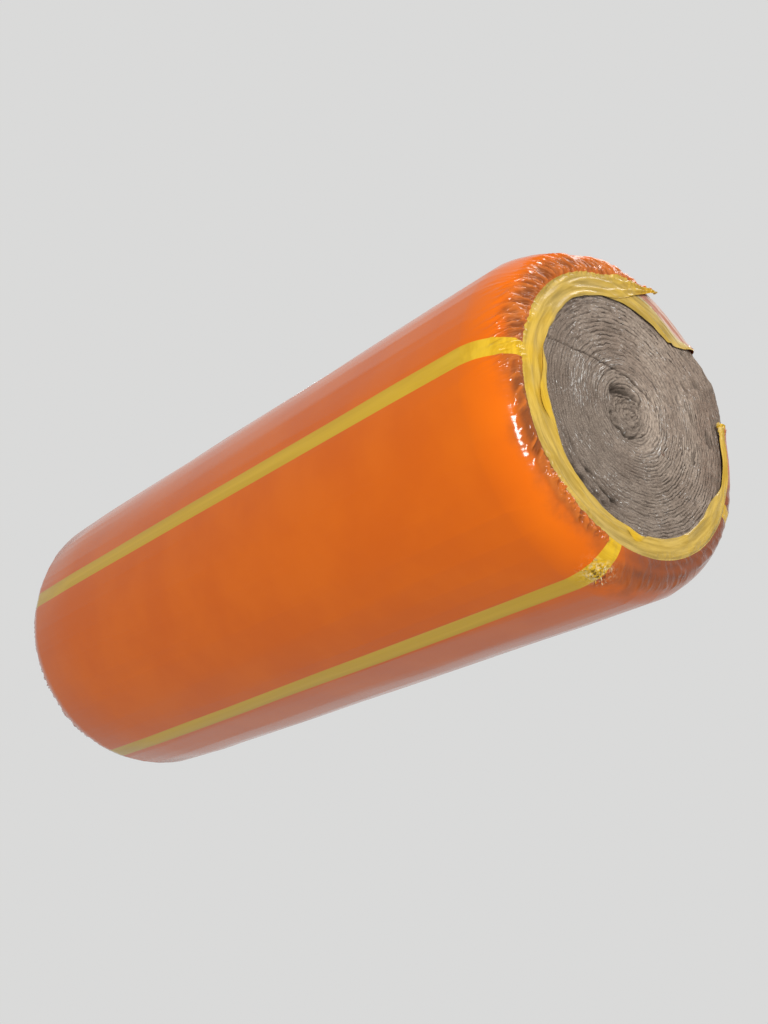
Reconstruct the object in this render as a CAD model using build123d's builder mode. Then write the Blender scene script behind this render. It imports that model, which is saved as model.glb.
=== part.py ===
"""A roll of mineral wool insulation, lying on its side in its film sleeve.

All sizes are in millimetres. The roll lies along Y on the plane Z = 0, with its torn end towards -Y.
The origin is on the floor, under the middle of the roll. Angles round the roll are in degrees, seen
from the -Y end: 0 is towards +X and 90 is up. Sections are drawn with X along the roll and Y out
from its axis, from the middle of the roll to one end, and are mirrored to the other.
"""

from math import cos, degrees, floor, pi, radians, sin
import os

from build123d import *

# The roll as it is packed
roll_diameter = 450
roll_length = 1140

# The film sleeve: one sheet, wrapped once round, lapped, and turned in over both ends
film_thickness = 0.5
film_slack = 0.3
shoulder_depth = 69
shoulder_height = 41
shoulder_bands = 6
ring_width = 27
lap_width = 90
lap_start_angle = 112

# The tear in the ring at the -Y end, which reaches past it up the shoulder
tear_start_angle = 14
tear_end_angle = 46
tear_reach = 21
tear_depth = 30
tear_corner_radius = 9

# The wound blanket, whose turns show in both openings
turn_pitch = 12.5
groove_width = 5
groove_depth = 4.5
core_radius = 44
core_sink = 7

roll_radius = roll_diameter / 2
half_length = roll_length / 2
barrel_half_length = half_length - shoulder_depth
ring_outer_radius = roll_radius - shoulder_height
opening_radius = ring_outer_radius - ring_width
tear_outer_radius = ring_outer_radius + tear_reach
lap_bands = shoulder_bands - 1
blanket_inset = film_thickness + film_slack
blanket_half_length = half_length - blanket_inset

# The axis points out of the torn end, so that a turn about it is positive as the angles are
roll_axis = Axis((0, 0, roll_radius), (0, -1, 0))


def lengthwise_plane(angle):
    """The plane of a section at this angle: its X runs along the roll, its Y out from the axis."""
    return Plane(
        origin=(0, 0, roll_radius),
        x_dir=(0, 1, 0),
        z_dir=(sin(radians(angle)), 0, -cos(radians(angle))),
    )


def barrel_and_shoulder(inset, bands=shoulder_bands):
    """A line this far inside the sleeve's outer face, along it and down the shoulder's bands.

    The shoulder is a quarter of an ellipse, drawn as flat bands to keep its facets few.
    """
    turns = [pi / 2 * band / shoulder_bands for band in range(bands + 1)]
    shoulder = [
        (
            barrel_half_length + (shoulder_depth - inset) * sin(turn),
            ring_outer_radius + (shoulder_height - inset) * cos(turn),
        )
        for turn in turns
    ]
    return Polyline((0, roll_radius - inset), *shoulder)


def turn_edges(face, outer_radius):
    """The edges of the turns across the end of the blanket, in to its core."""
    turn_count = floor((outer_radius - core_radius) / turn_pitch)
    for turn in range(turn_count):
        outside = outer_radius - turn * turn_pitch
        inside = outside - turn_pitch
        edge = Polyline(
            (face, outside),
            (face, inside + groove_width),
            (face - groove_depth, inside + groove_width / 2),
            (face, inside),
        )
    return edge


# The film sleeve
with BuildPart() as film_sleeve:
    with BuildSketch(lengthwise_plane(0)):
        with BuildLine():
            outer_shoulder = barrel_and_shoulder(0)
            inner_shoulder = barrel_and_shoulder(film_thickness)
            outer_lip = (half_length, opening_radius)
            inner_lip = (half_length - film_thickness, opening_radius)
            Polyline(outer_shoulder @ 1, outer_lip, inner_lip, inner_shoulder @ 1)
            mirror(about=Plane.YZ)
        make_face()
    revolve(axis=roll_axis)

    # The free edge of the sheet lies over its start, and is lost in the gathers near the ring
    with BuildSketch(lengthwise_plane(lap_start_angle)):
        with BuildLine():
            upper_shoulder = barrel_and_shoulder(-film_thickness, lap_bands)
            lower_shoulder = barrel_and_shoulder(film_thickness / 2, lap_bands)
            Line(upper_shoulder @ 1, lower_shoulder @ 1)
            mirror(about=Plane.YZ)
        make_face()
    revolve(axis=roll_axis, revolution_arc=degrees(lap_width / roll_radius))

    # The tear goes through the ring and the edge of the shoulder
    torn_end = Plane(origin=(0, -half_length, roll_radius), x_dir=(1, 0, 0), z_dir=(0, -1, 0))
    with BuildSketch(torn_end):
        with BuildLine():
            tear_rim = CenterArc(
                (0, 0), tear_outer_radius, tear_start_angle, tear_end_angle - tear_start_angle
            )
            Polyline(tear_rim @ 1, (0, 0), tear_rim @ 0)
        make_face()
        fillet(vertices().sort_by_distance((0, 0))[1:], tear_corner_radius)
    extrude(amount=-tear_depth, mode=Mode.SUBTRACT)
film_sleeve.part.label = "film_sleeve"

# The wound blanket
with BuildPart() as wool_roll:
    with BuildSketch(lengthwise_plane(0)):
        with BuildLine():
            blanket_shoulder = barrel_and_shoulder(blanket_inset)
            first_turn = (blanket_half_length, opening_radius)
            core_middle = (blanket_half_length - core_sink, 0)
            Line(blanket_shoulder @ 1, first_turn)
            last_turn = turn_edges(*first_turn)
            Polyline(last_turn @ 1, core_middle, (0, 0))
            mirror(about=Plane.YZ)
        make_face()
    revolve(axis=roll_axis)
wool_roll.part.label = "wool_roll"

os.makedirs("parts", exist_ok=True)
export_step(film_sleeve.part, "parts/film_sleeve.step")
export_step(wool_roll.part, "parts/wool_roll.step")
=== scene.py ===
"""The looks of a roll of mineral wool insulation that lies on its side in its printed film sleeve.

Everything is in metres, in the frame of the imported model: the roll lies along Y on the plane Z = 0,
with its torn end towards -Y. Angles are in degrees, seen from the torn end: 0 is towards +X and 90
is up. Reach is the distance from the middle of an end along the roll's surface: across the end,
over the shoulder and along the barrel. Lift is how far a point stands out from that surface. The
whole number in a call of rough or crests only picks its pattern.
"""

from math import cos, pi, radians, sin
import random

import bmesh
import bpy
import numpy as np
from mathutils import Matrix, Vector, noise


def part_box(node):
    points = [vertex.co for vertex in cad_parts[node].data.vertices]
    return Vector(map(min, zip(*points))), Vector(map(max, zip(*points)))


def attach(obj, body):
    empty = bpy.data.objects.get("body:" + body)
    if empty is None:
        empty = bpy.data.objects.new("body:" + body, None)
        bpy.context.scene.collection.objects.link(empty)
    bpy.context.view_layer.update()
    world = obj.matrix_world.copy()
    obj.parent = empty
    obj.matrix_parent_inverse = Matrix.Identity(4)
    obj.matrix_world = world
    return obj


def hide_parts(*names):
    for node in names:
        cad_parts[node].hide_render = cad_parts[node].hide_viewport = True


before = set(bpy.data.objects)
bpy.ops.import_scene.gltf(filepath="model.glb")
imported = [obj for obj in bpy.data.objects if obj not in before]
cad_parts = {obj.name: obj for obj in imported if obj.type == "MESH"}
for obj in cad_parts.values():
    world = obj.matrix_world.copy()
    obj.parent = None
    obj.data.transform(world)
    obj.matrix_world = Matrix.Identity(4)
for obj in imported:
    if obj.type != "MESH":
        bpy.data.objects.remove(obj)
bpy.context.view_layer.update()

# The roll, from the frame
film_low, film_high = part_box("film_sleeve")
roll_radius = (film_high.x - film_low.x) / 2
half_length = (film_high.y - film_low.y) / 2
roll_middle = (0, 0, roll_radius)

# The shoulder and the turned-in ring, as they are cut in the solids
shoulder_depth = 0.069
shoulder_height = 0.041
ring_outer_radius = roll_radius - shoulder_height
ring_width = 0.027
opening_radius = ring_outer_radius - ring_width
shoulder_length = 0.088
barrel_reach = ring_outer_radius + shoulder_length
middle_reach = barrel_reach + half_length - shoulder_depth

# The film's sheet before it was wrapped, with the print along its edges and its length
lap_width = 0.09
band_width = 0.038
sheet_width = 2 * pi * roll_radius + lap_width
half_sheet = band_width + middle_reach - ring_outer_radius
sheet_length = 2 * half_sheet
free_edge_angle = 72.5
stripe_width = 0.025
stripe_angles = (178, 258, 335)

# The tear at the torn end, between two angles, and how far it goes in from the sheet's edge
tear_start_angle = 13
tear_end_angle = 46
tear_bottom = 0.082

# Where the lip stands off the wool, at the lower left
gaping_lip = (205, 252, 14)

# The wool's dome in the opening, and its bulge at the tear
dome_height = 0.003
bulge_height = 0.0065


def rough(points, size, pattern=0):
    """Smooth noise from about -1 to 1, with lumps about this far apart."""
    shifted = np.asarray(points) / size + pattern * np.array([17.3, 5.7, 9.1])
    return np.array([noise.noise(p) for p in shifted.tolist()])


def crests(points, size, pattern, width):
    """Sharp crests with broad valleys between them."""
    return np.clip(1 - np.abs(rough(points, size, pattern)) / width, 0, 1)


def smooth(share):
    """A soft step from 0 to 1 as the share goes from 0 to 1."""
    held = np.clip(share, 0, 1)
    return held * held * (3 - 2 * held)


def arc(angle, start, end, soft=8):
    """1 between two angles and 0 away from them, with soft ends."""
    middle, half = (start + end) / 2, (end - start) / 2
    return smooth((half + soft / 2 - degrees_off(angle, middle)) / soft)


def degrees_off(angle, middle):
    """How many degrees each angle lies from this one, either way round."""
    return np.abs((np.degrees(angle) - middle + 180) % 360 - 180)


def between(value, start, end, soft):
    """1 between two values and 0 away from them, with soft ends."""
    return smooth((value - start) / soft + 0.5) * smooth((end - value) / soft + 0.5)


def on_roll(angle, reach, lift, end):
    """Points on the roll's surface, raised by lift. The end is -1 at the torn end, else 1."""
    turn = np.clip((reach - ring_outer_radius) / shoulder_length, 0, 1) * pi / 2
    radius = np.minimum(reach, ring_outer_radius) + shoulder_height * np.sin(turn)
    inward = shoulder_depth * (1 - np.cos(turn)) + np.maximum(reach - barrel_reach, 0)
    out_radial, out_axial = shoulder_depth * np.sin(turn), shoulder_height * np.cos(turn)
    size = np.hypot(out_radial, out_axial)
    radius = radius + lift * out_radial / size
    inward = inward - lift * out_axial / size
    across, up = radius * np.cos(angle), radius * np.sin(angle)
    return np.stack([across, end * (half_length - inward), roll_radius + up], axis=-1)


def polar_points(angle, reach, squeeze=1.0):
    """Points for noise that closes round the roll, squeezed along the reach by this much."""
    return np.stack([
        roll_radius * np.cos(angle), roll_radius * np.sin(angle), np.asarray(reach) * squeeze,
    ], axis=-1)


def ring_points(angle, reach, squeeze):
    """Points for noise that closes round the roll, and is drawn out round it."""
    return polar_points(angle, reach / squeeze) * squeeze


def face_points(angle, reach, end=-1):
    """Points for noise on the end's face."""
    return np.stack([reach * np.cos(angle), reach * np.sin(angle), 0 * reach + 0.3 * end], axis=-1)


def swell(angle, reach, end):
    """How far the wool stands out from the plain form, under the film too."""
    dome = dome_height * smooth(1 - reach / opening_radius)
    bulge = bulge_height * arc(angle, 23, 37, 26) * between(reach, 0.135, 0.235, 0.06)
    slack = 0.0018 * rough(polar_points(angle, reach), 0.13, 3) * smooth((reach - 0.12) / 0.06)
    return dome + (end < 0) * bulge + slack


def finish_mesh(bm, name):
    """A new object with this mesh, smooth shaded, at the origin."""
    for face in bm.faces:
        face.smooth = True
    mesh = bpy.data.meshes.new(name)
    bm.to_mesh(mesh)
    bm.free()
    piece = bpy.data.objects.new(name, mesh)
    bpy.context.scene.collection.objects.link(piece)
    return piece


def positions(bm):
    return np.array([v.co for v in bm.verts], float)


def set_positions(bm, points):
    for vert, point in zip(bm.verts, points.tolist()):
        vert.co = point


def spaced(*stops):
    """Values from the first stop to the last. Each stop is its place and the steps to the next."""
    parts = [
        np.linspace(start, end, steps + 1)[1:] for (start, steps), (end, _) in zip(stops, stops[1:])
    ]
    return np.concatenate([[stops[0][0]], *parts])


def flat_grid(columns, rows, width):
    """A flat grid of this many columns across X, with its rows at these places along Y."""
    bm = bmesh.new()
    bmesh.ops.create_grid(bm, x_segments=columns, y_segments=len(rows) - 1, size=1)
    flat = positions(bm)
    row = np.rint((flat[:, 1] + 1) / 2 * (len(rows) - 1)).astype(int)
    flat[:, 0] = (flat[:, 0] + 1) / 2 * width
    flat[:, 1] = rows[row]
    set_positions(bm, flat)
    return bm


def paint(piece, name, values):
    """Store one number for each vertex, for a material to read."""
    layer = piece.data.attributes.new(name, "FLOAT", "POINT")
    layer.data.foreach_set("value", np.asarray(values, np.float32))


# The wound wool's grids, finest on the face of the torn end
wool_columns = {-1: 400, 1: 200}
wool_rows = {
    -1: spaced((0, 184), (0.166, 20), (0.225, 5), (middle_reach - 0.02, 0)),
    1: spaced((0, 62), (0.166, 8), (0.225, 3), (middle_reach - 0.02, 0)),
}
turn_pitch = 0.0125
layers_per_turn = 3
loose_layers_per_turn = 2
wool_inset = 0.0008
turn_gap_depth = 0.0018
layer_gap_depth = 0.0011
loose_gap_depth = 0.0007

# The torn end's face, from its middle: right of it is +X and above it is +Z
core_middle = (-0.005, -0.011)
hollow_middle = (-0.0045, 0.0235)
stain_middle = (0.058, -0.039)
light_side_angle = 38
pale_ring_angle = -38
pale_ring_reach = 0.047
crack_height = 0.048
crack_bend = -0.032
crack_depth = 0.006
gouge_depth = 0.0085
under_lip_depth = 0.005


def winding(angle, reach, end):
    """The distance across the turns, waved as the layers are."""
    flat = face_points(angle, reach, end)
    slow = 0.0036 * rough(flat, 0.055, 5)
    quick = 0.0015 * rough(flat, 0.018, 6) + 0.0007 * rough(flat, 0.008, 7)
    return reach + (slow + quick) * smooth(reach / 0.03)


def crevice(phase, width):
    """1 on each whole number of the phase, falling to 0 within the width."""
    return smooth(1 - np.abs((phase + 0.5) % 1 - 0.5) / width)


def white_fibres(angle, reach):
    """Where white fibres gather: along one turn, at the left, and at the right."""
    arcs = np.maximum(arc(angle, 100, 168, 20), arc(angle, 302, 382, 30))
    one_turn = between(reach, 0.057, 0.067, 0.010) * arcs
    at_left = 0.75 * between(reach, 0.074, 0.102, 0.020) * arc(angle, 150, 192, 16)
    at_right = between(reach, 0.106, 0.116, 0.012) * arc(angle, 8, 24, 8)
    return np.maximum.reduce([one_turn, at_left, at_right])


def stains(angle, reach):
    """A dark spot right of the core, and brown edges by the tear."""
    x, z = reach * np.cos(angle) - stain_middle[0], reach * np.sin(angle) - stain_middle[1]
    spot = 1.3 * smooth(1.6 - np.hypot(x, z) / 0.003)
    return spot + 0.45 * arc(angle, -26, 28, 30) * smooth((reach - 0.128) / 0.016)


def wool_regions(angle, reach, end):
    """Where the wool is loose, calm, full of white fibres or stained, and how light it is: painted
    light, lighter towards the upper right and darker at the left.
    """
    torn = (end < 0) * 1.0
    # Painted light: the torn end's face lighter on the side light falls from, darker on the left
    lit = 0.08 + 0.36 * np.cos(angle - radians(light_side_angle))
    return {
        "loose": torn * arc(angle, 30, 150, 50) * smooth((reach - 0.05) / 0.03),
        "calm": 0.55 * torn * arc(angle, 150, 290, 60),
        "painted_light_and_pale": 1 + torn * smooth(reach / 0.05) * lit,
        "fibres": torn * white_fibres(angle, reach),
        "stain": torn * stains(angle, reach),
    }


def wool_relief(angle, reach, end, loose):
    """The lift of the wool's turns and layers, the painted shade in their gaps, and the way across
    them.
    """
    flat = face_points(angle, reach, end)
    across = winding(angle, reach, end)
    turn = across / turn_pitch + end * angle / (2 * pi)
    patches = np.clip(0.5 + 0.9 * rough(flat, 0.030, 8), 0, 1)
    ragged = np.clip(0.45 + 1.2 * rough(flat, 0.016, 9), 0, 1)
    turn_gap = crevice(turn, 0.16) * patches
    layer_gap = crevice(turn * layers_per_turn, 0.42) * (1 - loose)
    layer_gap = layer_gap + crevice(turn * loose_layers_per_turn, 0.40) * loose
    layer_gap = layer_gap * (0.15 + 0.85 * ragged) * (end < 0)
    lumps = 0.0009 * rough(flat, 0.011, 10) + 0.0007 * rough(flat, 0.005, 11)
    layer_depth = layer_gap_depth + loose_gap_depth * loose
    lift = lumps - turn_gap_depth * turn_gap - layer_depth * layer_gap
    shade = np.clip(0.25 * turn_gap + 0.22 * layer_gap * ragged, 0, 1)
    return lift, shade, across


def core_creases(angle, flat, out, near, broken):
    """Broken rings, small folds, and a rim below the core, each with its depth and its painted shade.
    """
    rings = crevice(out / 0.0095, 0.34) * broken * between(out, 0.009, 0.034, 0.006)
    folds = crests(flat * (0.6, 1.5, 1), 0.009, 20, 0.3) * near * (1 - broken)
    rim = arc(angle, 195, 285, 24) * crevice((out - 0.0285) / 0.010, 0.26)
    rim = rim * between(out, 0.024, 0.033, 0.004)
    return [(rings, 0.0030, 0.45), (folds, 0.0024, 0.40), (rim, 0.0040, 0.80)]


def hollow_creases(x, z, broken):
    """The hollow arch above the core, a crease inside it and one over it, in the same form, with
    painted shade.
    """
    arch = z + 10 * x ** 2
    thick = np.clip(0.0048 - 0.07 * x, 0.0026, 0.0062)
    hollow = between(x, -0.026, 0.030, 0.018) * np.exp(-((arch / thick) ** 2))
    inner = between(x, -0.020, 0.024, 0.010) * crevice((arch + 0.010) / 0.007, 0.25)
    inner = inner * between(arch, -0.016, -0.004, 0.004)
    brow = between(x, -0.024, 0.046, 0.012) * crevice((arch - 0.0135) / 0.008, 0.25)
    brow = brow * between(arch, 0.009, 0.030, 0.005) * broken
    return [(hollow, 0.011, 0.95), (inner, 0.0035, 0.70), (brow, 0.0030, 0.60)]


def core_relief(angle, reach):
    """The crumpled core, with painted shade in its creases and hollow, and the pale smooth turns
    round it.
    """
    x, z = reach * np.cos(angle), reach * np.sin(angle)
    flat = face_points(angle, reach)
    wander = 0.0055 * rough(flat, 0.018, 12) + 0.0020 * rough(flat, 0.007, 15)
    out = np.hypot(x - core_middle[0], z - core_middle[1]) + wander
    near = smooth((0.040 - out) / 0.012)
    broken = np.clip(0.35 + 1.4 * rough(flat, 0.013, 16), 0, 1)
    creases = core_creases(angle, flat, out, near, broken)
    creases += hollow_creases(x - hollow_middle[0], z - hollow_middle[1] + 0.4 * wander, broken)
    lumps = near * np.abs(rough(flat, 0.009, 19))
    lift = near * (0.0040 * lumps - 0.0015) - sum(depth * crease for crease, depth, _ in creases)
    shade = sum(dark * crease for crease, _, dark in creases)
    pale = np.exp(-((out - pale_ring_reach) / 0.009) ** 2)
    pale = pale * (0.5 + 0.5 * np.cos(angle - radians(pale_ring_angle)))
    return lift, np.clip(shade, 0, 1), pale


def crack_line(x):
    """The height of the long crack at each x: nearly level, then bent down past the core."""
    past = np.maximum(x - crack_bend, 0)
    return crack_height + 0.02 * np.minimum(x - crack_bend, 0) - 3.8 * past ** 2


def long_crack(angle, reach, flat):
    """The crack from the left edge past the core, and the layers that stand out below it."""
    x, z = reach * np.cos(angle), reach * np.sin(angle)
    wander = 0.0022 * rough(flat, 0.020, 13) + 0.0014 * rough(flat, 0.006, 17)
    open_share = np.clip(0.8 + 0.7 * rough(flat, 0.014, 18), 0.45, 1)
    below = crack_line(x) + wander - z
    along = between(x, -0.150, 0.042, 0.012)
    crack = along * smooth(1 - np.abs(below) / 0.0026) * open_share
    step = along * smooth(below / 0.003) * smooth(1 - below / 0.045) * smooth(-x / 0.03)
    return 0.0012 * step - crack_depth * crack, 1.4 * crack


def gouges(angle, reach, flat):
    """Two stepped gouges at the lower left, one of them by the lip."""
    jagged = 0.0060 * smooth(4 * rough(flat, 0.022, 48) + 0.5) + 0.0014 * rough(flat, 0.007, 47)
    torn_off = arc(angle, 229, 261, 10) * smooth(1.2 - np.abs(reach - 0.1345 + jagged) / 0.0024)
    by_lip = arc(angle, 222, 252, 10) * smooth(1.2 - np.abs(reach - 0.151 + jagged) / 0.0022)
    gouge = np.maximum(torn_off, by_lip) * np.clip(0.80 + 1.2 * rough(flat, 0.014, 49), 0.2, 1)
    return -gouge_depth * gouge, 1.5 * gouge


def frayed_layers(angle, reach, flat):
    """Layers frayed to tatters at the lower left and along the top."""
    below = arc(angle, 216, 262, 20) * between(reach, 0.125, 0.158, 0.016)
    above = 0.45 * arc(angle, 92, 140, 20) * between(reach, 0.132, 0.156, 0.012)
    frayed = np.maximum(below, above)
    tatters = crests(ring_points(angle, reach, 0.1), 0.0085, 14, 0.32) ** 1.5
    tatters = tatters * np.clip(0.6 + 1.2 * rough(flat, 0.014, 46), 0, 1)
    return -frayed * (0.001 + 0.0070 * tatters), 0.9 * frayed * tatters


def edge_pits(angle, reach):
    """Small pits drawn out along the turns, by the tear."""
    pits = smooth((rough(ring_points(angle, reach / 2, 0.1), 0.0045, 45) - 0.34) / 0.16)
    pits = pits * arc(angle, -16, 38, 14) * between(reach, 0.112, 0.165, 0.020)
    return -0.0020 * pits, 0.6 * pits


def face_scars(angle, reach):
    """The crack, gouges, tatters and pits of the torn end's face, as lift and painted shade."""
    flat = face_points(angle, reach)
    scars = [scar(angle, reach, flat) for scar in (long_crack, gouges, frayed_layers)]
    scars.append(edge_pits(angle, reach))
    return sum(lift for lift, _ in scars), np.clip(sum(shade for _, shade in scars), 0, 1)


def torn_face(angle, reach, lift, shade, regions):
    """The torn end's face, with its core, its scars, and the wool under its gaping lip in painted
    shadow.
    """
    core_lift, core_shade, pale = core_relief(angle, reach)
    scar_lift, scar_shade = face_scars(angle, reach)
    regions["calm"] = np.maximum(regions["calm"], 0.9 * pale)
    # The pale ring's own paler colour joins the painted light
    regions["painted_light_and_pale"] = regions["painted_light_and_pale"] + 0.32 * pale
    kept = 1 - 0.8 * regions["calm"]
    # Painted shadow of the gaping lip on the wool under it, besides the dip
    under_lip = arc(angle, *gaping_lip) * between(reach, 0.147, 0.2, 0.014)
    lift = lift * kept + core_lift + scar_lift - under_lip_depth * under_lip
    return lift, np.clip(shade * kept + core_shade + scar_shade + 0.4 * under_lip, 0, 1)


def wool_end(end):
    """One end of the wool: a grid, closed into a disc and turned over the shoulder."""
    bm = flat_grid(wool_columns[end], wool_rows[end], 2 * pi)
    flat = positions(bm)
    disc = np.stack([flat[:, 1] * np.cos(flat[:, 0]), flat[:, 1] * np.sin(flat[:, 0])], axis=-1)
    set_positions(bm, np.column_stack([disc, 0 * flat[:, 0]]))
    bmesh.ops.remove_doubles(bm, verts=bm.verts, dist=1e-6)
    flat = positions(bm)
    angle, reach = np.arctan2(flat[:, 1], flat[:, 0]), np.hypot(flat[:, 0], flat[:, 1])
    regions = wool_regions(angle, reach, end)
    lift, shade, across = wool_relief(angle, reach, end, regions["loose"])
    if end < 0:
        lift, shade = torn_face(angle, reach, lift, shade, regions)
    in_tear = arc(angle, tear_start_angle - 2, tear_end_angle + 2, 16) * (end < 0)
    under_film = smooth((reach - 0.165) / 0.02) * (1 - in_tear)
    on_barrel = smooth((reach - barrel_reach) / 0.03)
    lift = lift + swell(angle, reach, end) - 0.0015 * under_film - wool_inset - 0.003 * on_barrel
    set_positions(bm, on_roll(angle, reach, lift, end))
    # The crevice numbers are painted shade: the gaps, the core's creases and hollow, the scars and
    # the wool under the lip
    return bm, {"crevice": shade, "winding": across, **regions}


def wound_wool():
    """The wool roll: both ends, joined round the middle of the barrel."""
    bm = bmesh.new()
    halves = []
    for end in (-1, 1):
        half, numbers = wool_end(end)
        part = bpy.data.meshes.new("half")
        half.to_mesh(part)
        half.free()
        bm.from_mesh(part)
        bpy.data.meshes.remove(part)
        halves.append(numbers)
    rims = [edge for edge in bm.edges if edge.is_boundary]
    bmesh.ops.bridge_loops(bm, edges=rims)
    bmesh.ops.recalc_face_normals(bm, faces=bm.faces)
    piece = finish_mesh(bm, "wound_wool")
    for name in halves[0]:
        paint(piece, name, np.concatenate([numbers[name] for numbers in halves]))
    return piece


def sheet_place(angle):
    """How far round the sheet this angle is."""
    return radians(angle - free_edge_angle) * roll_radius


# The film sleeve, with the rows of its sheet from the torn end's edge to the other
film_columns = 1180
film_rows = spaced(
    (0, 17), (0.034, 16), (0.056, 14), (0.085, 9), (0.118, 9),
    (sheet_length - 0.110, 6), (sheet_length - 0.056, 8), (sheet_length - 0.020, 3),
    (sheet_length, 0),
)
film_gap = 0.0009
hem_bend = 0.0022

# The sheet's corner at the torn end, drawn up and bunched to a tip over its own start
corner_width = 0.100
corner_rise = 0.050

# Where the bottom stripe is torn
patch_around = sheet_place(259.5)
patch_from_edge = 0.088
patch_width, patch_length = 0.016, 0.013
thread_count = 26
thread_width = 0.0004

# How far the torn end's opening reaches, and what that gains: start, stop, softness, change
lip_mean = 0.1535
lip_lean = 0.007
lip_lean_angle = 300
lip_changes = (
    (338, 376, 16, 0.014),
    (174, 203, 12, -0.009),
    (140, 170, 20, -0.003),
    (269, 275, 5, 0.004),
    (204, 214, 6, -0.002),
)

# How high the film's folds stand
gather_height = 0.0044
fine_gather_height = 0.0012
margin_fold_height = 0.0052
band_fold_height = 0.0032
pucker_height = 0.0048
crinkle_height = 0.0062
corner_fold_height = 0.0046
strip_fold_height = 0.0034

# The arc of the torn end where the film is gathered most
top_gathers = (84, 184, 20)


def corner_share(around, width=corner_width, power=1.5):
    """1 at the sheet's free edge, falling to 0 at this width from it."""
    return np.clip(1 - around / width, 0, 1) ** power


def lip_reach(angle, around, end):
    """The reach of the film's cut edge, where it isn't folded."""
    ring = polar_points(angle, 0 * angle)
    torn = lip_mean + lip_lean * np.cos(angle - radians(lip_lean_angle))
    for start, stop, soft, change in lip_changes:
        torn = torn + change * arc(angle, start, stop, soft)
    torn = torn + 0.0012 * rough(ring, 0.02, 22)
    whole = opening_radius + 0.003 * rough(ring, 0.09, 21)
    return np.where(end < 0, torn + corner_rise * corner_share(around), whole)


def band_reach(angle, around, end):
    """The reach of the yellow band's outer edge."""
    torn = ring_outer_radius + 0.0005 + 0.005 * np.cos(angle - radians(290))
    torn = torn + 0.024 * corner_share(around, 0.125, 1.2) - 0.004 * arc(angle, 50, 70, 16)
    torn = torn + 0.014 * arc(angle, 36, 50, 9)
    whole = ring_outer_radius + 0.001 + 0.002 * rough(polar_points(angle, 0 * angle), 0.12, 23)
    return np.where(end < 0, torn, whole)


def hem_fold(angle, end):
    """The width of the film's edge that is folded back on itself."""
    ring = polar_points(angle, 0 * angle)
    torn = 0.0115 * arc(angle, 174, 207, 30) + 0.011 * arc(angle, 262, 273, 12)
    torn = torn * (1 + 0.5 * rough(ring, 0.05, 20)) + 0.005 * arc(angle, 346, 374, 20)
    return np.where(end < 0, torn, 0.010 * smooth(3 * rough(ring, 0.2, 24) - 0.4))


def gather_points(angle, reach, end):
    """Points for noise that is drawn out along the gathers, which lean."""
    upright = arc(angle, 188, 250, 20)
    lean = np.where(end < 0, 2.6 * (1 - upright), -2.0)
    slanted = angle - lean * (reach - ring_outer_radius)
    return polar_points(slanted, reach, 0.24) + 0.5 * end[:, None]


def gathered(angle, reach, end):
    """How strongly the film is gathered: over the top of the torn end, and round the other."""
    above = np.where(end < 0, 0.06 + 0.94 * arc(angle, *top_gathers), 0.85)
    frill = (end < 0) * 0.45 * arc(angle, 262, 305, 14) * between(reach, 0.208, 0.235, 0.012)
    return np.maximum(above * between(reach, 0.180, 0.222, 0.018), frill)


def pleats(angle, reach, end):
    """Gathers that run out from the ring, sharp there and softer down the shoulder."""
    drawn = gather_points(angle, reach, end)
    tall = tall_share(angle, reach)
    sharp = gather_height * crests(drawn, 0.012, 25, 0.34) ** 1.3 * (0.3 + 0.7 * tall)
    fine = fine_gather_height * crests(drawn, 0.0055, 26, 0.36)
    far = 0.4 * tall * between(reach, 0.19, 0.240, 0.04)
    far = far * np.where(end < 0, arc(angle, *top_gathers), 1)
    return (gathered(angle, reach, end) + far) * (sharp + fine)


def tall_share(angle, reach):
    """Where the folds stand taller, as broad patches."""
    return np.clip(0.5 + 0.8 * rough(polar_points(angle, reach, 0.5), 0.03, 27), 0, 1)


def margin_folds(angle, reach, end):
    """Broad slanting folds beside the torn end's band, weaker below."""
    tall = tall_share(angle, reach)
    slanted = polar_points(angle - 3.4 * (reach - ring_outer_radius), reach, 0.5)
    broad = margin_fold_height * crests(slanted, 0.019, 32, 0.50)
    broad = broad + 0.0016 * rough(slanted, 0.011, 39)
    broad = broad + 0.0011 * crests(slanted, 0.0095, 40, 0.35) * smooth((reach - 0.184) / 0.006)
    left = (end < 0) * arc(angle, 176, 252, 24) * between(reach, 0.189, 0.205, 0.010)
    low = (end < 0) * 0.55 * arc(angle, 262, 345, 20) * between(reach, 0.190, 0.215, 0.012)
    return (left * (0.5 + 0.5 * tall) + low * tall) * np.maximum(broad, -0.0006)


def band_folds(angle, reach, from_edge, end):
    """Long folds round the band, and puckers and crinkles along its outer edge."""
    long = crests(ring_points(angle, reach, 0.12) + 0.5 * end[:, None], 0.012, 35, 0.5)
    pucker = np.abs(rough(polar_points(angle, reach, 0.7), 0.0055, 36))
    patches = np.clip(0.4 + 1.4 * rough(polar_points(angle, reach), 0.04, 38), 0, 1)
    drawn_in = np.where(end < 0, 0.3 + 0.7 * arc(angle, 84, 180, 20), 0.7) * patches
    crinkled = (end < 0) * arc(angle, 222, 257, 14) * np.clip(0.5 + patches, 0, 1)
    lift = band_fold_height * long * between(from_edge, 0.003, 0.034, 0.006)
    lift = lift + pucker_height * drawn_in * pucker * between(from_edge, 0.034, 0.046, 0.006)
    return lift + crinkle_height * crinkled * pucker * between(from_edge, 0.038, 0.050, 0.004)


def barrel_slack(angle, reach, end):
    """Long shallow wrinkles and flats on the barrel."""
    lengthwise = end * (middle_reach - reach) * 0.3
    drawn = np.stack([
        roll_radius * np.cos(angle), lengthwise, roll_radius * np.sin(angle)
    ], axis=-1)
    wrinkles = 0.0009 * crests(drawn, 0.045, 28, 0.5) ** 2
    return smooth((reach - 0.22) / 0.06) * (wrinkles + 0.0012 * rough(drawn, 0.16, 29))


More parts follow.
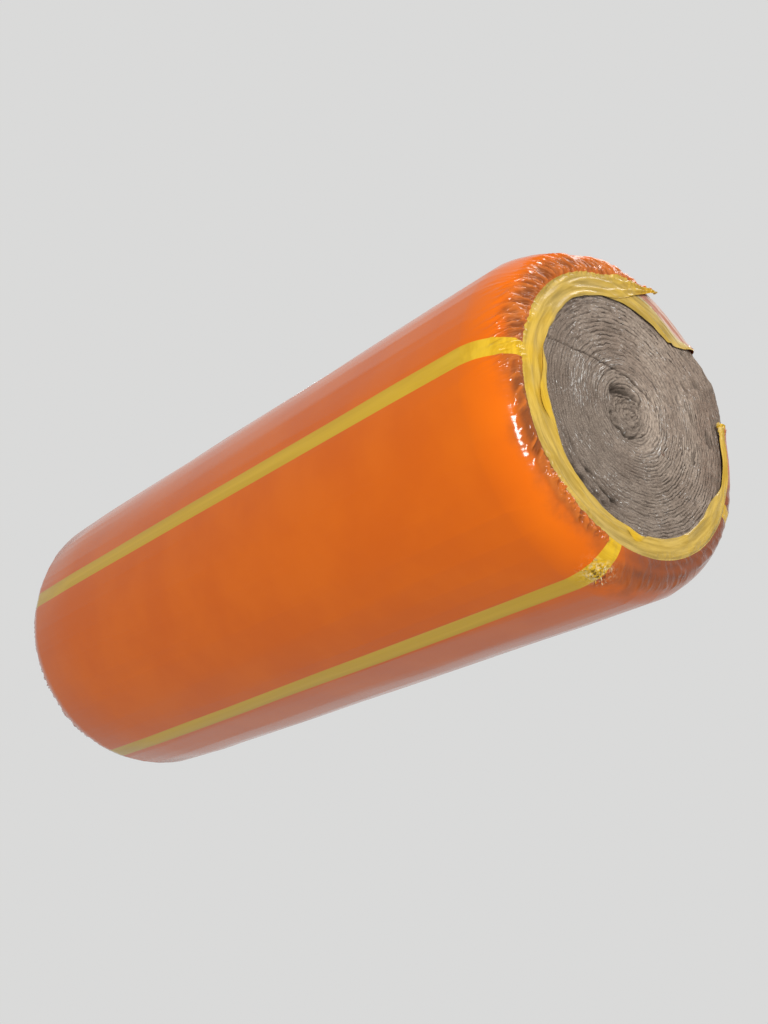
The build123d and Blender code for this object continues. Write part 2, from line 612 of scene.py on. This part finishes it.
def corner_folds(angle, reach, around, from_edge):
    """The bunched corner: long folds up to its tip, and crumpled film outside it."""
    near = corner_share(around, 0.155, 0.8)
    across = from_edge / band_width
    wander = 0.35 * rough(polar_points(angle, reach), 0.025, 33)
    zigzag = 1 - np.abs(np.sin(pi * (2.7 * across + wander)))
    folds = corner_fold_height * near * zigzag * smooth((1.15 - across) / 0.3)
    crumple = np.abs(rough(polar_points(angle, reach), 0.009, 34))
    outside = 0.0065 * corner_share(around, 0.14, 1) * crumple * between(across, 1.0, 2.3, 0.3)
    tip = 0.005 * np.exp(-((around / 0.018) ** 2)) * smooth((0.232 - reach) / 0.02)
    return folds + outside + tip


def strip_folds(angle, from_edge):
    """The band below the tear, folded lengthwise into a narrow strip with a crumpled tip."""
    strip = arc(angle, 346, 380, 12)
    tip = arc(angle, 370, 380, 8)
    across = from_edge / band_width
    zigzag = 1 - np.abs(np.sin(pi * (1.8 * across + 0.15)))
    crumple = np.abs(rough(polar_points(angle, from_edge), 0.006, 37))
    folds = strip_fold_height * zigzag + 0.010 * tip * crumple
    return smooth((1.2 - across) / 0.3) * strip * folds


def tear_rims(angle, reach):
    """1 on the two torn edges of the film, fading away from them."""
    off = [degrees_off(angle, side) for side in (tear_start_angle, tear_end_angle)]
    return np.exp(-np.minimum(*off) / 2.4) * smooth((0.24 - reach) / 0.03)


def torn_patch(around, from_edge):
    """1 in the middle of the torn place on the bottom stripe."""
    return np.exp(
        -((around - patch_around) / patch_width) ** 2
        - ((from_edge - patch_from_edge) / patch_length) ** 2
    )


class Wrapped:
    """The sheet's points once it is wrapped: their end, angle and reach."""

    def __init__(self, around, along):
        self.around = around
        self.end = np.where(along < half_sheet, -1, 1)
        self.torn = (self.end < 0) * 1.0
        self.from_edge = np.minimum(along, sheet_length - along)
        angle = radians(free_edge_angle) + around / roll_radius
        self.fold = hem_fold(angle, self.end)
        self.reach = self.find_reach(angle)
        to_start = np.exp(-(sheet_width - around) / 0.06)
        self.angle = angle + self.torn * radians(9) * smooth((0.20 - self.reach) / 0.04) * to_start
        self.loose = np.clip(rough(polar_points(self.angle, self.reach), 0.03, 30), 0, 1)
        self.rims = self.torn * tear_rims(self.angle, self.reach)
        self.patch = self.torn * torn_patch(around, self.from_edge)

    def find_reach(self, angle):
        """The band is stretched from the lip to its outer edge, and the film past it follows."""
        lip = lip_reach(angle, self.around, self.end)
        band = band_reach(angle, self.around, self.end)
        in_band = np.sqrt((self.from_edge - self.fold) ** 2 + hem_bend ** 2)
        in_band = lip + (band - lip) * in_band / (band_width - self.fold)
        past = self.from_edge - band_width
        past_band = ring_outer_radius + past + (band - ring_outer_radius) * smooth(1 - past / 0.06)
        return np.where(self.from_edge < band_width, in_band, past_band)


def edge_lift(at):
    """The lift of the film's edge, which curls, is hemmed, and gapes at the lower left."""
    curl = smooth(1 - at.from_edge / 0.012) * (0.0012 + 0.0018 * at.loose)
    hem = smooth(at.fold / 0.010) * smooth(1 - at.from_edge / 0.034)
    folded_over = smooth((at.fold - at.from_edge) / 0.004)
    gape = at.torn * arc(at.angle, *gaping_lip) * smooth((0.17 - at.reach) / 0.02)
    return curl + 0.0012 * hem + 0.0009 * folded_over + 0.0015 * gape


def film_lift(at):
    """The lift of all the film's folds, which hug the wool below the tear."""
    corner = corner_folds(at.angle, at.reach, at.around, at.from_edge)
    crumple = np.abs(rough(polar_points(at.angle, at.reach), 0.006, 31))
    lift = pleats(at.angle, at.reach, at.end) + margin_folds(at.angle, at.reach, at.end)
    lift = lift + band_folds(at.angle, at.reach, at.from_edge, at.end) + edge_lift(at)
    lift = lift + at.torn * (corner + strip_folds(at.angle, at.from_edge))
    lift = lift + at.rims * (0.0022 + 0.0035 * crumple) + at.patch * (0.001 + 0.007 * crumple)
    hugged = at.torn * arc(at.angle, tear_start_angle + 5, tear_end_angle - 3, 6)
    return lift * (1 - 0.9 * hugged * smooth((0.26 - at.reach) / 0.02))


def doubled_and_sunlit_share(at):
    """Where the film looks bright: it lies double, is torn, or light comes through, and painted light
    on the band's left side.
    """
    near_tip = at.torn * corner_share(at.around, 0.05, 1)
    near_tip = near_tip * smooth((1.1 - at.from_edge / band_width) / 0.2)
    hemmed = smooth(at.fold / 0.014) * smooth((2.4 * at.fold - at.from_edge) / 0.012)
    # Painted light: the band brighter yellow on the left, where light falls
    sunlit = at.torn * 0.8 * arc(at.angle, 150, 206, 50) * (0.6 + 0.8 * at.loose)
    narrowed = at.torn * 0.45 * arc(at.angle, 340, 366, 16)
    return np.clip(np.maximum.reduce([hemmed, sunlit, at.rims, near_tip, narrowed]), 0, 1)


def film_numbers(at, lift, raised):
    """What the film's material needs to know at each point."""
    crumpled = np.maximum(arc(at.angle, 182, 250, 16), 0.8 * arc(at.angle, 270, 345, 20))
    # Painted shade: the underside's margin darker, pinkish brown
    underside_shade = arc(at.angle, 266, 348, 16) * between(at.reach, 0.178, 0.224, 0.024)
    return {
        "loft": np.clip(lift / 0.0045, 0, 1),
        "doubled_and_sunlit": doubled_and_sunlit_share(at),
        "frayed": np.maximum.reduce([at.patch, 0.6 * at.rims, smooth(raised / 0.003)]),
        "gathered": gathered(at.angle, at.reach, at.end),
        "crumpled": at.torn * crumpled * between(at.reach, 0.178, 0.203, 0.012),
        "underside_shade": at.torn * underside_shade,
    }


def film_shape(around, along, raised):
    """Where the sheet's points lie once it is wrapped, and the numbers for its material."""
    at = Wrapped(around, along)
    lift = film_lift(at)
    lap = smooth(1 - (around - lap_width) / 0.04)
    plain = film_gap * (1 + lap) + swell(at.angle, at.reach, at.end)
    plain = plain + barrel_slack(at.angle, at.reach, at.end)
    points = on_roll(at.angle, at.reach, plain + lift + raised, at.end)
    points[:, 2] = np.maximum(points[:, 2], 0.0002)
    return points, film_numbers(at, lift, raised), gather_points(at.angle, at.reach, at.end)


def add_threads(bm):
    """Frayed threads round the torn patch: ribbons that rise and curl over."""
    chance = random.Random(7)
    for _ in range(thread_count):
        ribbon = bmesh.ops.create_grid(bm, x_segments=1, y_segments=7, size=1)["verts"]
        turn, bow = chance.uniform(0, 2 * pi), chance.uniform(-0.9, 0.9)
        length, rise = chance.uniform(0.007, 0.020), chance.uniform(0.001, 0.006)
        start = Vector((
            patch_around + chance.gauss(0, 0.55) * patch_width,
            patch_from_edge + chance.gauss(0, 0.55) * patch_length, 0,
        ))
        for vert in ribbon:
            share = (vert.co.y + 1) / 2
            heading = turn + bow * share
            along = Vector((cos(heading), sin(heading), 0))
            aside = Vector((-sin(heading), cos(heading), 0))
            width = thread_width * vert.co.x * (1.2 - share)
            vert.co = start + length * share * along + width * aside
            vert.co.z = rise * sin(pi * min(1, 0.15 + 0.75 * share))


# The tear in the flat sheet: its two sides, and its cuts, each a place and the way inside
tear_start, tear_stop = sheet_place(tear_start_angle + 360), sheet_place(tear_end_angle + 360)
tip_width, tip_length = 0.045, 0.029
tear_notch = (
    (Vector((tear_start, 0, 0)), Vector((1, -0.10, 0))),
    (Vector((tear_stop, 0, 0)), Vector((-1, -0.10, 0))),
    (Vector(((tear_start + tear_stop) / 2, tear_bottom, 0)), Vector((0.08, -1, 0))),
    (Vector((tear_start, tear_bottom - 0.030, 0)), Vector((0.75, -0.66, 0))),
    (Vector((tear_stop, tear_bottom - 0.022, 0)), Vector((-0.55, -0.83, 0))),
)
tear_tip = (
    (Vector((tear_stop - 0.004, 0, 0)), Vector((1, 0, 0))),
    (Vector((tear_stop, tip_length, 0)), Vector((-tip_length, -tip_width, 0)).normalized()),
)


def cut_out(bm, cuts):
    """Cut the sheet along these planes, and take out what lies inside them all."""
    near = [
        face for face in bm.faces
        if face.calc_center_median().y < 2 * tear_bottom
        and tear_start - 0.05 < face.calc_center_median().x < tear_stop + 0.08
    ]
    for place, inside in cuts:
        geometry = list({v for f in near for v in f.verts} | {e for f in near for e in f.edges})
        made = bmesh.ops.bisect_plane(
            bm, geom=geometry + near, dist=1e-5, plane_co=place, plane_no=inside
        )
        near = [part for part in made["geom"] if isinstance(part, bmesh.types.BMFace)]
    gone = [
        face for face in near
        if all((face.calc_center_median() - place).dot(inside) > 0 for place, inside in cuts)
    ]
    bmesh.ops.delete(bm, geom=gone, context="FACES")


def cut_tear(bm):
    """Cut the tear out of the sheet, with a tip beside it, and leave its edge ragged."""
    cut_out(bm, tear_notch)
    cut_out(bm, tear_tip)
    flat = positions(bm)
    near = between(flat[:, 0], tear_start, tear_stop, 0.05)
    near = near * smooth(1 - (flat[:, 1] - tear_bottom) / 0.03)
    drift_around, drift_along = (
        0.010 * rough(flat, 0.040, pattern) + 0.0035 * rough(flat, 0.014, pattern + 5)
        for pattern in (41, 42)
    )
    flat[:, 0] += near * drift_around
    flat[:, 1] += near * drift_along * smooth(flat[:, 1] / 0.01)
    set_positions(bm, flat)


def film_wrap():
    """The film: a flat sheet, printed, cut, and wrapped round the roll."""
    bm = flat_grid(film_columns, film_rows, sheet_width)
    cut_tear(bm)
    add_threads(bm)
    flat = positions(bm)
    layer = bm.loops.layers.uv.new("sheet")
    for face in bm.faces:
        for loop in face.loops:
            x, y, _ = loop.vert.co
            loop[layer].uv = (x / sheet_width, y / sheet_length)
    points, numbers, gather = film_shape(*flat.T)
    set_positions(bm, points)
    piece = finish_mesh(bm, "film_wrap")
    for name, values in numbers.items():
        paint(piece, name, values)
    layer = piece.data.attributes.new("gather", "FLOAT_VECTOR", "POINT")
    layer.data.foreach_set("vector", gather.astype(np.float32).ravel())
    return piece


class Nodes:
    """A material, or the world, with short calls that add its nodes."""

    def __init__(self, owner):
        self.owner = owner
        owner.use_nodes = True
        self.tree = owner.node_tree
        self.tree.nodes.clear()

    def add(self, kind, inputs=(), **settings):
        node = self.tree.nodes.new(kind)
        for key, value in settings.items():
            setattr(node, key, value)
        for key, value in dict(inputs).items():
            self.feed(node.inputs[key], value)
        return node

    def feed(self, socket, value):
        if isinstance(value, bpy.types.NodeSocket):
            self.tree.links.new(value, socket)
        elif isinstance(value, tuple) and len(value) == 3 and socket.type == "RGBA":
            socket.default_value = (*value, 1)
        else:
            socket.default_value = value

    def math(self, operation, first, second=0.0):
        return self.add("ShaderNodeMath", {0: first, 1: second}, operation=operation).outputs[0]

    def times(self, first, *others):
        for other in others:
            first = self.math("MULTIPLY", first, other)
        return first

    def plus(self, first, *others):
        for other in others:
            first = self.math("ADD", first, other)
        return first

    def minus(self, first, second):
        return self.math("SUBTRACT", first, second)

    def most(self, first, second):
        return self.math("MAXIMUM", first, second)

    def off(self, value, middle):
        """How far the value is from this one, either way."""
        return self.math("ABSOLUTE", self.minus(value, middle))

    def step(self, value, low, high):
        """0 below low, 1 above high, smooth between."""
        inputs = {"Value": value, "From Min": low, "From Max": high}
        return self.add("ShaderNodeMapRange", inputs, interpolation_type="SMOOTHSTEP").outputs[0]

    def blend(self, share, first, second, kind="MIX"):
        inputs = {0: share, 6: first, 7: second}
        return self.add("ShaderNodeMix", inputs, data_type="RGBA", blend_type=kind).outputs[2]

    def tinted(self, colour, *tints):
        """The colour, blended towards each tint in turn by its share."""
        for share, tint in tints:
            colour = self.blend(share, colour, tint)
        return colour

    def grain(self, place, scale, detail=3.0, roughness=0.55):
        inputs = {"Vector": place, "Scale": scale, "Detail": detail, "Roughness": roughness}
        return self.add("ShaderNodeTexNoise", inputs).outputs[0]

    def split(self, vector):
        return self.add("ShaderNodeSeparateXYZ", {0: vector}).outputs

    def join(self, x, y, z=0.0):
        return self.add("ShaderNodeCombineXYZ", {0: x, 1: y, 2: z}).outputs[0]

    def value(self, name):
        return self.add("ShaderNodeAttribute", attribute_name=name).outputs["Fac"]

    def place(self):
        return self.add("ShaderNodeTexCoord").outputs["Object"]

    def bump(self, height, strength, distance):
        inputs = {"Height": height, "Strength": strength, "Distance": distance}
        return self.add("ShaderNodeBump", inputs).outputs[0]

    def surface(self, inputs):
        shader = self.add("ShaderNodeBsdfPrincipled", inputs)
        self.add("ShaderNodeOutputMaterial", {0: shader.outputs[0]})
        return self.owner


# The wool's colours
wool_brown, wool_pale = (0.245, 0.184, 0.141), (0.345, 0.272, 0.214)
wool_stain = (0.15, 0.068, 0.038)
wool_line = (0.125, 0.093, 0.071)
wool_lump = (0.120, 0.090, 0.070)
wool_fleck = (0.50, 0.42, 0.35)
# Painted shade in the gaps between the layers
wool_gap_shade = (0.034, 0.025, 0.019)
# White fibres with painted glints on them
fibre_glint_white = (0.92, 0.90, 0.86)


def wool_colour(wool, place, crinkle, lines, fine, lumps):
    """The wool's brown and pale patches, with its painted light and pale ring, stains, lines, lumps
    and flecks.
    """
    patches = wool.grain(place, 20.0, 3.0, 0.5)
    stained = wool.times(wool.value("stain"), wool.step(crinkle, -0.22, 0.10))
    colour = wool.blend(wool.step(patches, 0.35, 0.65), wool_brown, wool_pale)
    # Painted light: the colour times the lit side's brightness and the pale ring
    colour = wool.blend(1.0, colour, wool.value("painted_light_and_pale"), "MULTIPLY")
    return wool.tinted(
        colour,
        (stained, wool_stain),
        (wool.times(wool.step(lines, 0.60, 0.35), 0.5), wool_line),
        (wool.times(wool.step(lumps, 0.55, 0.35), 0.45), wool_lump),
        (wool.times(wool.step(fine, 0.46, 0.72), 0.7), wool_fleck),
    )


def layer_gap_shade(wool, phase, streaks):
    """Painted shade in the gaps between the layers, fewer where they are loose, faint where they are
    calm.
    """

    def gaps(phase, openness, widest):
        """Lines of painted shade on the phase's whole numbers, as wide and dark as they are open."""
        edge = wool.plus(wool.times(openness, widest), 0.01)
        return wool.times(wool.step(wool.math("PINGPONG", phase, 0.5), edge, 0.0), openness)

    opened = wool.step(streaks(0.022, 0.0065, 2.5), 0.36, 0.62)
    half_opened = wool.step(streaks(0.018, 0.004, 2.0), 0.50, 0.70)
    loose = wool.value("loose")
    loose_phase = wool.times(phase, loose_layers_per_turn / layers_per_turn)
    tight = wool.times(gaps(phase, opened, 0.17), wool.minus(1.0, loose))
    wide = wool.most(tight, wool.times(gaps(loose_phase, opened, 0.16), loose))
    narrow = gaps(wool.plus(wool.times(phase, 2.0), 0.5), half_opened, 0.22)
    dark = wool.most(wide, wool.times(narrow, 0.7))
    dark = wool.times(dark, wool.minus(1.0, wool.times(wool.value("calm"), 0.75)))
    # With the painted shade that the mesh carries
    return wool.most(dark, wool.value("crevice"))


def glints(wool, place, dark, streaks):
    """White fibres with painted glints: a few short ones all over, and long strands where they
    gather.
    """
    short = wool.step(streaks(0.0065, 0.0006, 1.0), 0.67, 0.72)
    few = wool.step(wool.grain(place, 26.0, 1.0), 0.47, 0.60)
    short = wool.times(short, few, wool.step(dark, 0.5, 0.2))
    strands = wool.step(streaks(0.015, 0.0008, 1.5), 0.60, 0.67)
    return wool.most(short, wool.times(strands, wool.value("fibres")))


def wool_finish():
    """Brown-grey mineral wool: crinkled layers, painted shade in the gaps between them, and white
    fibres with painted glints.
    """
    wool = Nodes(bpy.data.materials.new("mineral_wool"))
    place = wool.place()
    side, lengthwise, height = wool.split(place)
    up = wool.minus(height, roll_radius)
    crinkle = wool.minus(wool.grain(place, 130.0, 5.0, 0.62), 0.5)
    across = wool.plus(wool.value("winding"), wool.times(crinkle, 0.0042))

    def streaks(length, width, detail):
        """Noise drawn out along the turns."""
        drawn = wool.join(
            wool.times(side, 1 / length), wool.times(up, 1 / length), wool.times(across, 1 / width)
        )
        return wool.grain(drawn, 1.0, detail, 0.55)

    # The layers wind: the phase gains one turn in each turn, the other way at the other end
    turned = wool.times(wool.math("ARCTAN2", up, side), layers_per_turn / (2 * pi))
    turned = wool.times(turned, wool.math("SIGN", lengthwise))
    phase = wool.plus(wool.times(across, layers_per_turn / turn_pitch), turned)

    dark = layer_gap_shade(wool, phase, streaks)
    lines = streaks(0.010, 0.0014, 3.0)
    fine = wool.grain(place, 950.0, 3.0, 0.7)
    lumps = wool.grain(place, 260.0, 3.0, 0.6)
    colour = wool.tinted(
        wool_colour(wool, place, crinkle, lines, fine, lumps),
        (wool.times(dark, 0.80), wool_gap_shade),
        (glints(wool, place, dark, streaks), fibre_glint_white),
    )
    rise = wool.plus(wool.times(lines, 0.5), wool.times(fine, 0.45), wool.times(lumps, 0.6))
    rise = wool.minus(rise, wool.times(dark, 0.9))
    return wool.surface({
        "Base Color": colour, "Roughness": 0.95, "Normal": wool.bump(rise, 0.9, 0.0017),
        "Specular IOR Level": 0.12,
    })


# The film's colours: the printed ground's, the thin margin's, and the band's and stripes'
orange_print = (0.75, 0.134, 0.0), (0.81, 0.155, 0.0)
orange_film = (0.50, 0.105, 0.010), (0.66, 0.132, 0.008)
# Folded film darker and raised film lighter: partly film on or off the wool, partly painted shade and
# light
folded_shade_orange = (0.22, 0.060, 0.014)
lofted_light_orange = (0.55, 0.138, 0.018)
# Painted highlight on the crease crests
crease_glint_orange = (0.72, 0.26, 0.09)
# Painted shade of the underside's margin, pinkish brown
underside_shade_orange = (0.22, 0.066, 0.032)
inner_rose, inner_pale = (0.48, 0.200, 0.135), (0.76, 0.60, 0.50)
khaki_band = (0.36, 0.245, 0.055), (0.60, 0.420, 0.115)
yellow_band = (0.62, 0.36, 0.012), (0.78, 0.49, 0.026)
whitened_band = (0.70, 0.62, 0.42)
frayed_pale, frayed_dark = (0.80, 0.70, 0.42), (0.045, 0.032, 0.014)

# Where the ground stops, nearer the edge between two angles, and where the inner film starts
print_edge = 0.0003
wide_margin = 0.105
panel_gain = -0.036
panel_angles = (60, 258)
inner_start_angle = 405


def stripes(film, around):
    """1 on each yellow stripe along the sheet."""
    share = 0.0
    for angle in stripe_angles:
        off = film.off(around, sheet_place(angle))
        stripe = film.step(off, stripe_width / 2 + print_edge, stripe_width / 2 - print_edge)
        share = film.most(share, stripe)
    return share


def printed_ground(film, around, from_edge, mottle):
    """1 where the ground is printed thick, and 0 in the thin margin."""
    start, stop = (sheet_place(angle) for angle in panel_angles)
    in_panel = film.times(
        film.step(around, start, start + 0.01), film.step(around, stop + 0.002, stop - 0.002)
    )
    past = film.minus(from_edge, film.plus(wide_margin, film.times(in_panel, panel_gain)))
    past = film.plus(past, film.times(film.minus(mottle, 0.5), 0.03))
    return film.step(past, -0.014, 0.012)


def ring_streaks(film, place):
    """Noise drawn out round the ends."""
    side, _, height = film.split(place)
    up = film.minus(height, roll_radius)
    flat = film.join(side, up)
    radius = film.add("ShaderNodeVectorMath", {0: flat}, operation="LENGTH").outputs["Value"]
    drawn = film.join(film.times(side, 22.0), film.times(up, 22.0), film.times(radius, 230.0))
    return film.grain(drawn, 1.0, 4.0, 0.6)


def film_creases(film):
    """Fine creases along the gathers."""
    gather = film.add("ShaderNodeAttribute", attribute_name="gather").outputs["Vector"]
    off = film.off(film.grain(gather, 190.0, 1.5, 0.5), 0.5)
    return film.times(film.step(off, 0.10, 0.0), film.value("gathered"))


def thin_film(film, mottle, creases, inner, pale):
    """The thin film of the margin: brown where folded and lighter where raised, partly as painted
    shade and light, with painted crease glints, pinkish painted shade below, and pale by the tear.
    """
    folded = film.most(film.value("crumpled"), film.value("gathered"))
    return film.tinted(
        film.blend(film.step(mottle, 0.3, 0.7), *orange_film),
        # Darker brown where crumpled or gathered: partly thin film on the wool, partly painted shade
        (film.times(folded, 0.9), folded_shade_orange),
        # Lighter where the film stands out: partly film clear of the wool, partly painted light
        (film.step(film.value("loft"), 0.10, 1.0), lofted_light_orange),
        # Painted highlight: thin pale glints along the crease crests
        (film.times(creases, 0.3), crease_glint_orange),
        # Painted shade on the underside's margin
        (film.times(film.value("underside_shade"), 0.75), underside_shade_orange),
        (inner, inner_rose),
        (film.times(pale, 0.75), inner_pale),
    )


def yellow_print(film, streaks, whitened):
    """The stripes' yellow, and the band's: khaki, and bright where the film is doubled or raised and
    where light is painted on it.
    """
    bright = film.blend(film.step(streaks, 0.3, 0.7), *yellow_band)
    khaki = film.blend(film.step(streaks, 0.3, 0.7), *khaki_band)
    # Raised band folds brighter: partly film clear of the wool, partly painted light
    brightened = film.most(film.value("doubled_and_sunlit"), film.times(film.value("loft"), 0.45))
    band = film.blend(brightened, khaki, bright)
    return bright, film.blend(film.times(whitened, 0.6), band, whitened_band)


def film_relief(film, place, crinkle, streaks, creases, in_band, in_margin):
    """Fine crinkles, streaks in the band, creases in the margin, and crests in crumpled film."""
    curved = film.minus(0.2, film.off(film.grain(place, 80.0, 2.0, 0.5), 0.5))
    rise = film.plus(
        film.times(crinkle, 0.16), film.times(streaks, in_band, 0.2),
        film.times(creases, in_margin, 0.5), film.times(curved, film.value("crumpled"), 7.0),
    )
    return film.bump(rise, 0.5, 0.0012)


def film_finish():
    """Glossy printed film: orange, with a yellow band along both edges and yellow stripes."""
    film = Nodes(bpy.data.materials.new("printed_film"))
    across, lengthwise, _ = film.split(film.add("ShaderNodeUVMap", uv_map="sheet").outputs[0])
    around, along = film.times(across, sheet_width), film.times(lengthwise, sheet_length)
    from_edge = film.math("MINIMUM", along, film.minus(sheet_length, along))
    place = film.place()
    mottle = film.grain(place, 30.0, 4.0, 0.6)
    crinkle = film.grain(place, 160.0, 5.0, 0.65)
    streaks = ring_streaks(film, place)
    creases = film_creases(film)
    in_band = film.step(from_edge, 0.042, 0.034)
    in_margin = film.times(film.step(from_edge, 0.034, 0.040), film.step(from_edge, 0.10, 0.06))

    # The inner film beyond its band, which is pale where it lies doubled by the tear
    inner_start = sheet_place(inner_start_angle)
    inner = film.step(around, inner_start, inner_start + 0.02)
    inner = film.times(inner, film.step(along, 0.3, 0.2))
    pale = film.times(inner, in_margin, film.step(streaks, 0.40, 0.62))
    whitened = film.times(inner, film.step(from_edge, 0.022, 0.036), film.step(streaks, 0.34, 0.52))

    cloudy = film.grain(place, 9.0, 3.0, 0.5)
    thick = film.blend(film.step(cloudy, 0.3, 0.7), *orange_print)
    thin = thin_film(film, mottle, creases, inner, pale)
    yellow, band_yellow = yellow_print(film, streaks, whitened)
    frayed = film.value("frayed")
    colour = film.tinted(
        film.blend(printed_ground(film, around, from_edge, mottle), thin, thick),
        (stripes(film, around), yellow),
        (film.step(from_edge, band_width + print_edge, band_width - print_edge), band_yellow),
        (film.times(film.step(crinkle, 0.5, 0.6), frayed), frayed_pale),
        (film.times(film.step(crinkle, 0.44, 0.38), frayed), frayed_dark),
    )

    return film.surface({
        "Base Color": colour,
        "Roughness": film.plus(0.08, film.times(mottle, 0.12), film.times(in_band, 0.15)),
        "Normal": film_relief(film, place, crinkle, streaks, creases, in_band, in_margin),
        "IOR": 1.36,
        "Specular IOR Level": 0.36,
    })


# The studio, and its soft lamps, each with its place, aim, size and power
floor_size = 12
floor_drop = 0.0005
floor_paint, floor_glow = (0.84, 0.84, 0.83), (0.78, 0.78, 0.775)
room_colour = (0.70, 0.70, 0.695)
room_light = 0.34
lamps = {
    "front_left_lamp": ((-2.2, -3.35, -0.56), (0, -0.5, 0.2), (0.32, 1.05), 124),
    "top_lamp": ((0.9, -0.9, 3.0), roll_middle, (1.8, 1.8), 62),
    "back_lamp": ((1.8, 1.9, 1.6), roll_middle, (1.2, 1.0), 24),
}

# The camera stands where the photograph was taken, and looks at the whole roll
camera_place = Vector((-1.102, -1.466, -0.572))
camera_up = Vector((-0.417, -0.471, 0.778))
camera_aim = Vector((-0.006, -0.119, 0.244))
camera_lens = 47.0


def camera():
    look = (camera_aim - camera_place).normalized()
    right = look.cross(camera_up).normalized()
    up = right.cross(look)
    made = bpy.data.objects.new("camera", bpy.data.cameras.new("camera"))
    made.data.lens = camera_lens
    made.data.clip_end = 60
    turned = Matrix((right, up, -look)).transposed().to_4x4()
    made.matrix_world = Matrix.Translation(camera_place) @ turned
    bpy.context.scene.collection.objects.link(made)
    bpy.context.scene.camera = made


def softbox(name, place, aim, size, power):
    lamp = bpy.data.lights.new(name, "AREA")
    lamp.shape = "RECTANGLE"
    lamp.size, lamp.size_y = size
    lamp.energy = power
    made = bpy.data.objects.new(name, lamp)
    turned = (Vector(aim) - Vector(place)).to_track_quat("-Z", "Y").to_matrix().to_4x4()
    made.matrix_world = Matrix.Translation(Vector(place)) @ turned
    bpy.context.scene.collection.objects.link(made)


def floor_finish():
    """A pale floor that shows from above only, and lets light reach the roll's underside."""
    floor = Nodes(bpy.data.materials.new("floor_paint"))
    lit = floor.add("ShaderNodeBsdfDiffuse", {"Color": floor_paint})
    glow = floor.add("ShaderNodeEmission", {"Color": floor_glow})
    face = floor.add("ShaderNodeMixShader", {0: 0.5, 1: lit.outputs[0], 2: glow.outputs[0]})
    clear = floor.add("ShaderNodeBsdfTransparent")
    below = floor.add("ShaderNodeNewGeometry").outputs["Backfacing"]
    seen = floor.add("ShaderNodeLightPath").outputs["Is Camera Ray"]
    hidden = floor.most(below, floor.minus(1.0, seen))
    both = floor.add("ShaderNodeMixShader", {0: hidden, 1: face.outputs[0], 2: clear.outputs[0]})
    floor.add("ShaderNodeOutputMaterial", {0: both.outputs[0]})
    return floor.owner


def lay_floor():
    bm = bmesh.new()
    bmesh.ops.create_grid(bm, x_segments=1, y_segments=1, size=floor_size)
    bmesh.ops.translate(bm, verts=bm.verts, vec=(0, 0, -floor_drop))
    floor = finish_mesh(bm, "floor")
    floor.data.materials.append(floor_finish())
    floor.visible_shadow = False


def pale_room():
    """A world that is pale to the eye and in reflections, and lights the roll softly."""
    room = Nodes(bpy.data.worlds.new("pale_room"))
    path = room.add("ShaderNodeLightPath").outputs
    mirrored = room.most(path["Is Glossy Ray"], path["Is Transmission Ray"])
    seen = room.most(path["Is Camera Ray"], mirrored)
    light = room.add("ShaderNodeBackground", {0: (1.0, 1.0, 1.0), 1: room_light})
    pale = room.add("ShaderNodeBackground", {0: room_colour, 1: 1.0})
    both = room.add("ShaderNodeMixShader", {0: seen, 1: light.outputs[0], 2: pale.outputs[0]})
    room.add("ShaderNodeOutputWorld", {0: both.outputs[0]})
    bpy.context.scene.world = room.owner


def studio():
    camera()
    lay_floor()
    pale_room()
    for name, lamp in lamps.items():
        softbox(name, *lamp)
    bpy.context.scene.view_settings.view_transform = "Standard"


def main():
    studio()
    wool = wound_wool()
    wool.data.materials.append(wool_finish())
    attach(wool, "root")
    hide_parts("wool_roll")

    film = film_wrap()
    film.data.materials.append(film_finish())
    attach(film, "root")
    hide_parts("film_sleeve")


main()
